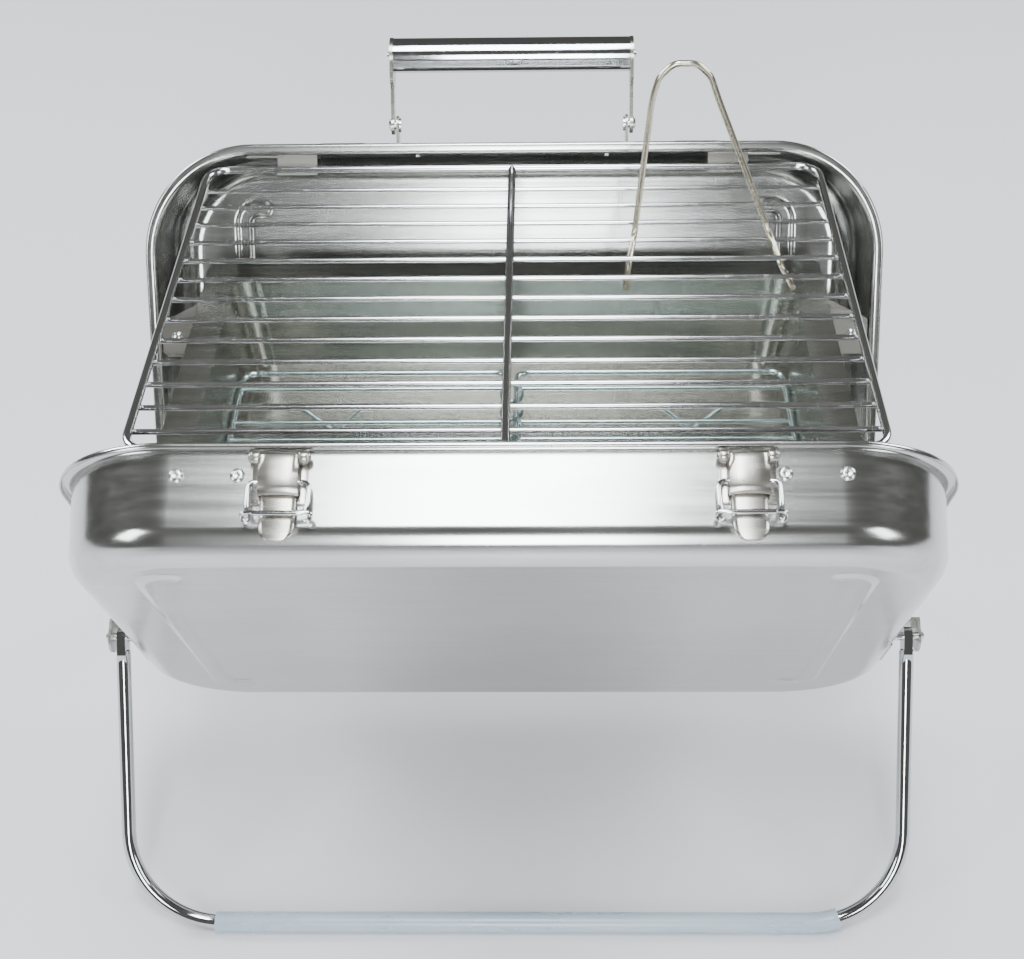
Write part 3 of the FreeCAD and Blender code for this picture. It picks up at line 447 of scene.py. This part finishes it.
at = rivetPlaces
frontSeats = [raised(wallSeat("front", sign * at["latch"] + at["latchShift"] + offset,
                              at["latchDepth"]), at["plate"])
              for sign in (-1, 1) for offset in (-4, 4)]
frontSeats += [wallSeat("front", sign * (at["clip"] + offset) + at["clipShift"], at["clipDepth"])
               for sign in (-1, 1) for offset in (-14, 15)]
rearSeats = [raised(wallSeat("rear", sign * at["catch"] - at["latchShift"] + offset,
                             at["catchDepth"]), at["plate"])
             for sign in (-1, 1) for offset in (-6.5, 6.5)]
rearSeats += [wallSeat("rear", sign * (at["clip"] + offset), at["clipDepth"])
              for sign in (-1, 1) for offset in (-14, 15)]
rivetSet("front_pop_rivets", frontSeats, "front_case", "front_wall_rivets")
rivetSet("rear_pop_rivets", rearSeats, "rear_case", "rear_wall_rivets")

supportBolt = {"x": 208, "s": 180.5, "depth": 3.6}
boltDome = [(0, 0), (3.7, 0), (3.6, 0.5), (3.0, 1.2), (1.8, 1.7), (0.8, 1.85), (0, 1.9)]
for side in ("front", "rear"):
    seats = []
    for sign in (-1, 1):
        place = Vector((sign * supportBolt["x"], supportBolt["s"], supportBolt["depth"])) * mm
        seats.append(caseFrame(side) @ Matrix.Translation(place) @ Matrix.Rotation(math.pi, 4, "X"))
    rivetSet(side + "_support_bolts", seats, side + "_case", "tray_support_bolts_" + side, boltDome)
print("rivets set")

# draw latches

latchShape = {"lever": 17.6, "crown": 0.9, "flange": 4.2, "tongue": 16.4, "wire": 1.25,
              "pivotDepth": 8, "pivotRise": 5.5, "base": 26, "plate": 1.2}
coverSide = [(1.6, 7.3), (0.2, 8.3), (-3, 8.9), (-9, 9.2), (-14.5, 8.8), (-16.8, 8.0),
             (-18.0, 6.6), (-17.6, 5.2)]
tongueSide = [(-6, 3.4), (-14, 3.6), (-20, 4.0), (-26, 4.9), (-30, 5.8), (-34, 6.8), (-37, 7.5),
              (-39.3, 8.0), (-40.8, 8.3), (-41.5, 8.4)]
tongueEnd = {-34: 0.985, -37: 0.92, -39.3: 0.78, -40.8: 0.58, -41.5: 0.36}
bailLoop = [(0, -12, 3.6), (8, -12, 3.6), (12.6, -11.4, 4.0), (14.2, -14, 4.8), (14.2, -20, 6.0),
            (14.0, -25, 7.2), (12.8, -27.6, 7.9), (6, -27.8, 8.0)]
bailCurl = [(11.5, -27.6, 8.6), (15.6, -27.2, 8.4), (16.2, -30.0, 7.8), (13.9, -32.8, 7.0),
            (12.4, -30.8, 7.4)]


def latchLever():
    shape = strip(coverSide, latchShape["lever"])
    half = latchShape["lever"] / 2
    for vert in shape.verts:
        vert.co.z -= latchShape["crown"] * (abs(vert.co.x) / half) ** 3
    sides = [edge for edge in shape.edges if edge.is_boundary
             and all(abs(abs(vert.co.x) - half) < 0.01 and vert.co.y < -0.5 for vert in edge.verts)]
    flaps = bmesh.ops.extrude_edge_only(shape, edges=sides)["geom"]
    for vert in [item for item in flaps if isinstance(item, bmesh.types.BMVert)]:
        vert.co.x += math.copysign(0.5, vert.co.x)
        vert.co.z -= min(latchShape["flange"], vert.co.z - 2.2)
    tongue = strip(tongueSide, latchShape["tongue"])
    for vert in tongue.verts:
        for y, share in tongueEnd.items():
            if abs(vert.co.y - y) < 0.01:
                vert.co.x *= share
        vert.co.z -= 0.7 * (abs(vert.co.x) / half) ** 2
    stamp(shape, tongue, Matrix())
    bmesh.ops.recalc_face_normals(shape, faces=shape.faces)
    return shape


def latchBase():
    half = latchShape["base"] / 2
    shape = strip([(4.5, 1.6), (4.2, 0.7), (2, 0.6), (-21, 0.6), (-22, 0.9)], latchShape["base"])
    for side in (-1, 1):
        # an ear rolled round the pin, with the pin's domed end
        barrel = turned([(0, 0), (2.6, 0), (2.95, 0.4), (2.95, 2.9), (2.6, 3.3), (1.9, 3.3), (1.9, 4.2),
                         (1.3, 4.7), (0, 4.8)])
        turn = Matrix.Rotation(side * math.radians(90), 4, "Y")
        rise = latchShape["pivotRise"]
        stamp(shape, barrel, Matrix.Translation((side * (half - 3.5), 0, rise)) @ turn)
        web = strip([(2.6, 0.8), (2.9, rise), (2.4, rise + 1.6)], 3.2, 1)
        stamp(shape, web, Matrix.Translation((side * (half - 1.8), 0, 0)))
    return shape


for hand, sign in (("left", -1), ("right", 1)):
    seat = wallSeat("front", sign * at["latch"] + at["latchShift"], latchShape["pivotDepth"])
    addPiece("latch_cover_" + hand, latchLever(), "plated_steel", "latch_lever_" + hand, seat,
             ["latch_lever_" + hand], latchShape["plate"], 50)
    addPiece("latch_foot_" + hand, latchBase(), "plated_steel", "front_case", seat,
             ["latch_base_" + hand], 0.9, 50)
    half = bailLoop + [(-x, y, z) for x, y, z in bailLoop[:0:-1]]
    loop = wire(half, latchShape["wire"], closed=True)
    for side in (-1, 1):
        stamp(loop, wire([(side * x, y, z) for x, y, z in bailCurl], 1.0), Matrix())
    addPiece("latch_loop_" + hand, loop, "chromed_wire", "latch_bail_" + hand, seat,
             ["latch_bail_" + hand])
print("latches made")

# foot sleeves

legShape = {"width": 470, "tube": 4.25, "length": 174, "bend": 55, "angle": 117, "along": 74,
            "depth": 33, "sleeve": 6.0, "sleeveSteps": 5}


def halfSleeve(turn):
    straight = legShape["width"] / 2 - legShape["tube"] - legShape["bend"]
    foot = legShape["length"]
    shape = bmesh.new()
    ring = bmesh.ops.create_circle(shape, segments=28, radius=legShape["sleeve"] - 0.6)["verts"]
    bmesh.ops.rotate(shape, cent=(0, 0, 0), verts=ring, matrix=Matrix.Rotation(math.radians(90), 3, "Y"))
    bmesh.ops.translate(shape, vec=(0, foot, 0), verts=ring)
    made = bmesh.ops.extrude_edge_only(shape, edges=shape.edges[:])["geom"]
    end = [item for item in made if isinstance(item, bmesh.types.BMVert)]
    bmesh.ops.translate(shape, vec=(straight, 0, 0), verts=end)
    edges = [edge for edge in shape.edges if all(vert.co.x > 1 for vert in edge.verts)]
    bmesh.ops.spin(shape, geom=end + edges, cent=(straight, foot - legShape["bend"], 0),
                   axis=(0, 0, 1), angle=-math.radians(turn), steps=legShape["sleeveSteps"])
    return shape


def footSleeve(leftTurn, rightTurn):
    shape = halfSleeve(rightTurn)
    stamp(shape, halfSleeve(leftTurn), Matrix.Scale(-1, 4, (1, 0, 0)))
    bmesh.ops.remove_doubles(shape, verts=shape.verts, dist=0.005)
    bmesh.ops.recalc_face_normals(shape, faces=shape.faces)
    return shape


for side, turns in (("front", (4, 19)), ("rear", (11, 11))):
    place = (caseFrame(side) @ Matrix.Translation(Vector((0, legShape["along"], legShape["depth"])) * mm)
             @ Matrix.Rotation(math.radians(legShape["angle"]), 4, "X"))
    addPiece(side + "_foot_sleeve", footSleeve(*turns), "sleeve_plastic", "leg_" + side, place,
             ["foot_sleeve_" + side], 1.2)
print("sleeves fitted")

# studio

studioLook = {"floor": (0.86, 0.86, 0.89), "floorRough": 0.45, "floorHalf": 3.0,
              "world": (0.90, 0.90, 0.84, 1), "worldStrength": 0.13, "lamp": (0.93, 0.975, 1.0)}

# place and target in metres, width and height of the lamp, watts
studioLamps = {
    "topBand": ((-0.04, -0.35, 2.3), (0, 0, 0.2), (0.5, 1.3), 44),
    "frontBand": ((0.0, -2.1, 0.95), (0, 0, 0.25), (0.36, 1.0), 26),
    "backLeft": ((-2.2, 1.1, 2.0), (0, 0, 0), (1.2, 1.2), 80),
    "backRight": ((2.2, 1.1, 2.0), (0, 0, 0), (1.2, 1.2), 70),
    "frontLeft": ((-2.2, -1.6, 1.6), (0, -0.3, 0), (0.8, 1.2), 28),
    "frontRight": ((2.2, -1.6, 1.6), (0, -0.3, 0), (0.8, 1.2), 23),
}

# angles in degrees, place in metres with its height above the hinge
cameraLook = {"sensor": 36.0, "lens": 56.39765625, "yaw": 1.513, "down": 40.59, "roll": -1.178,
              "x": 0.0187, "y": -0.7211, "aboveHinge": 0.7345}


def makeStudio():
    sweep = bmesh.new()
    bmesh.ops.create_grid(sweep, x_segments=1, y_segments=1, size=studioLook["floorHalf"])
    data = bpy.data.meshes.new("floor")
    sweep.to_mesh(data)
    sweep.free()
    floor = bpy.data.objects.new("floor", data)
    bpy.context.scene.collection.objects.link(floor)
    mat = Mat("paleFloor", Roughness=studioLook["floorRough"])
    cloud = mat.noise(1.2, 2.0)
    base = studioLook["floor"]
    mat.put("Base Color", mat.mix(cloud, tuple(v * 0.97 for v in base), base))
    data.materials.append(mat.data)


def areaLight(name, place, target, size, power, colour=(1, 1, 1)):
    light = bpy.data.lights.new(name, "AREA")
    light.shape = "RECTANGLE"
    light.size, light.size_y = size
    light.energy = power
    light.color = colour
    holder = bpy.data.objects.new(name, light)
    bpy.context.scene.collection.objects.link(holder)
    direction = Vector(target) - Vector(place)
    turn = direction.to_track_quat("-Z", "Y").to_matrix().to_4x4()
    holder.matrix_world = Matrix.Translation(place) @ turn


def makeLights():
    world = bpy.data.worlds.new("studio")
    world.use_nodes = True
    background = world.node_tree.nodes["Background"]
    background.inputs[0].default_value = studioLook["world"]
    background.inputs[1].default_value = studioLook["worldStrength"]
    bpy.context.scene.world = world
    for name, (place, target, size, power) in studioLamps.items():
        areaLight(name, place, target, size, power, studioLook["lamp"])


def makeCamera():
    data = bpy.data.cameras.new("camera")
    data.sensor_width = cameraLook["sensor"]
    data.lens = cameraLook["lens"]
    camera = bpy.data.objects.new("camera", data)
    bpy.context.scene.collection.objects.link(camera)
    turn = (Matrix.Rotation(math.radians(cameraLook["yaw"]), 4, "Z")
            @ Matrix.Rotation(math.radians(90 - cameraLook["down"]), 4, "X")
            @ Matrix.Rotation(math.radians(cameraLook["roll"]), 4, "Z"))
    place = (cameraLook["x"], cameraLook["y"], cameraLook["aboveHinge"] + hingeZ)
    camera.matrix_world = Matrix.Translation(place) @ turn
    bpy.context.scene.camera = camera


makeStudio()
makeLights()
makeCamera()
print("studio ready")
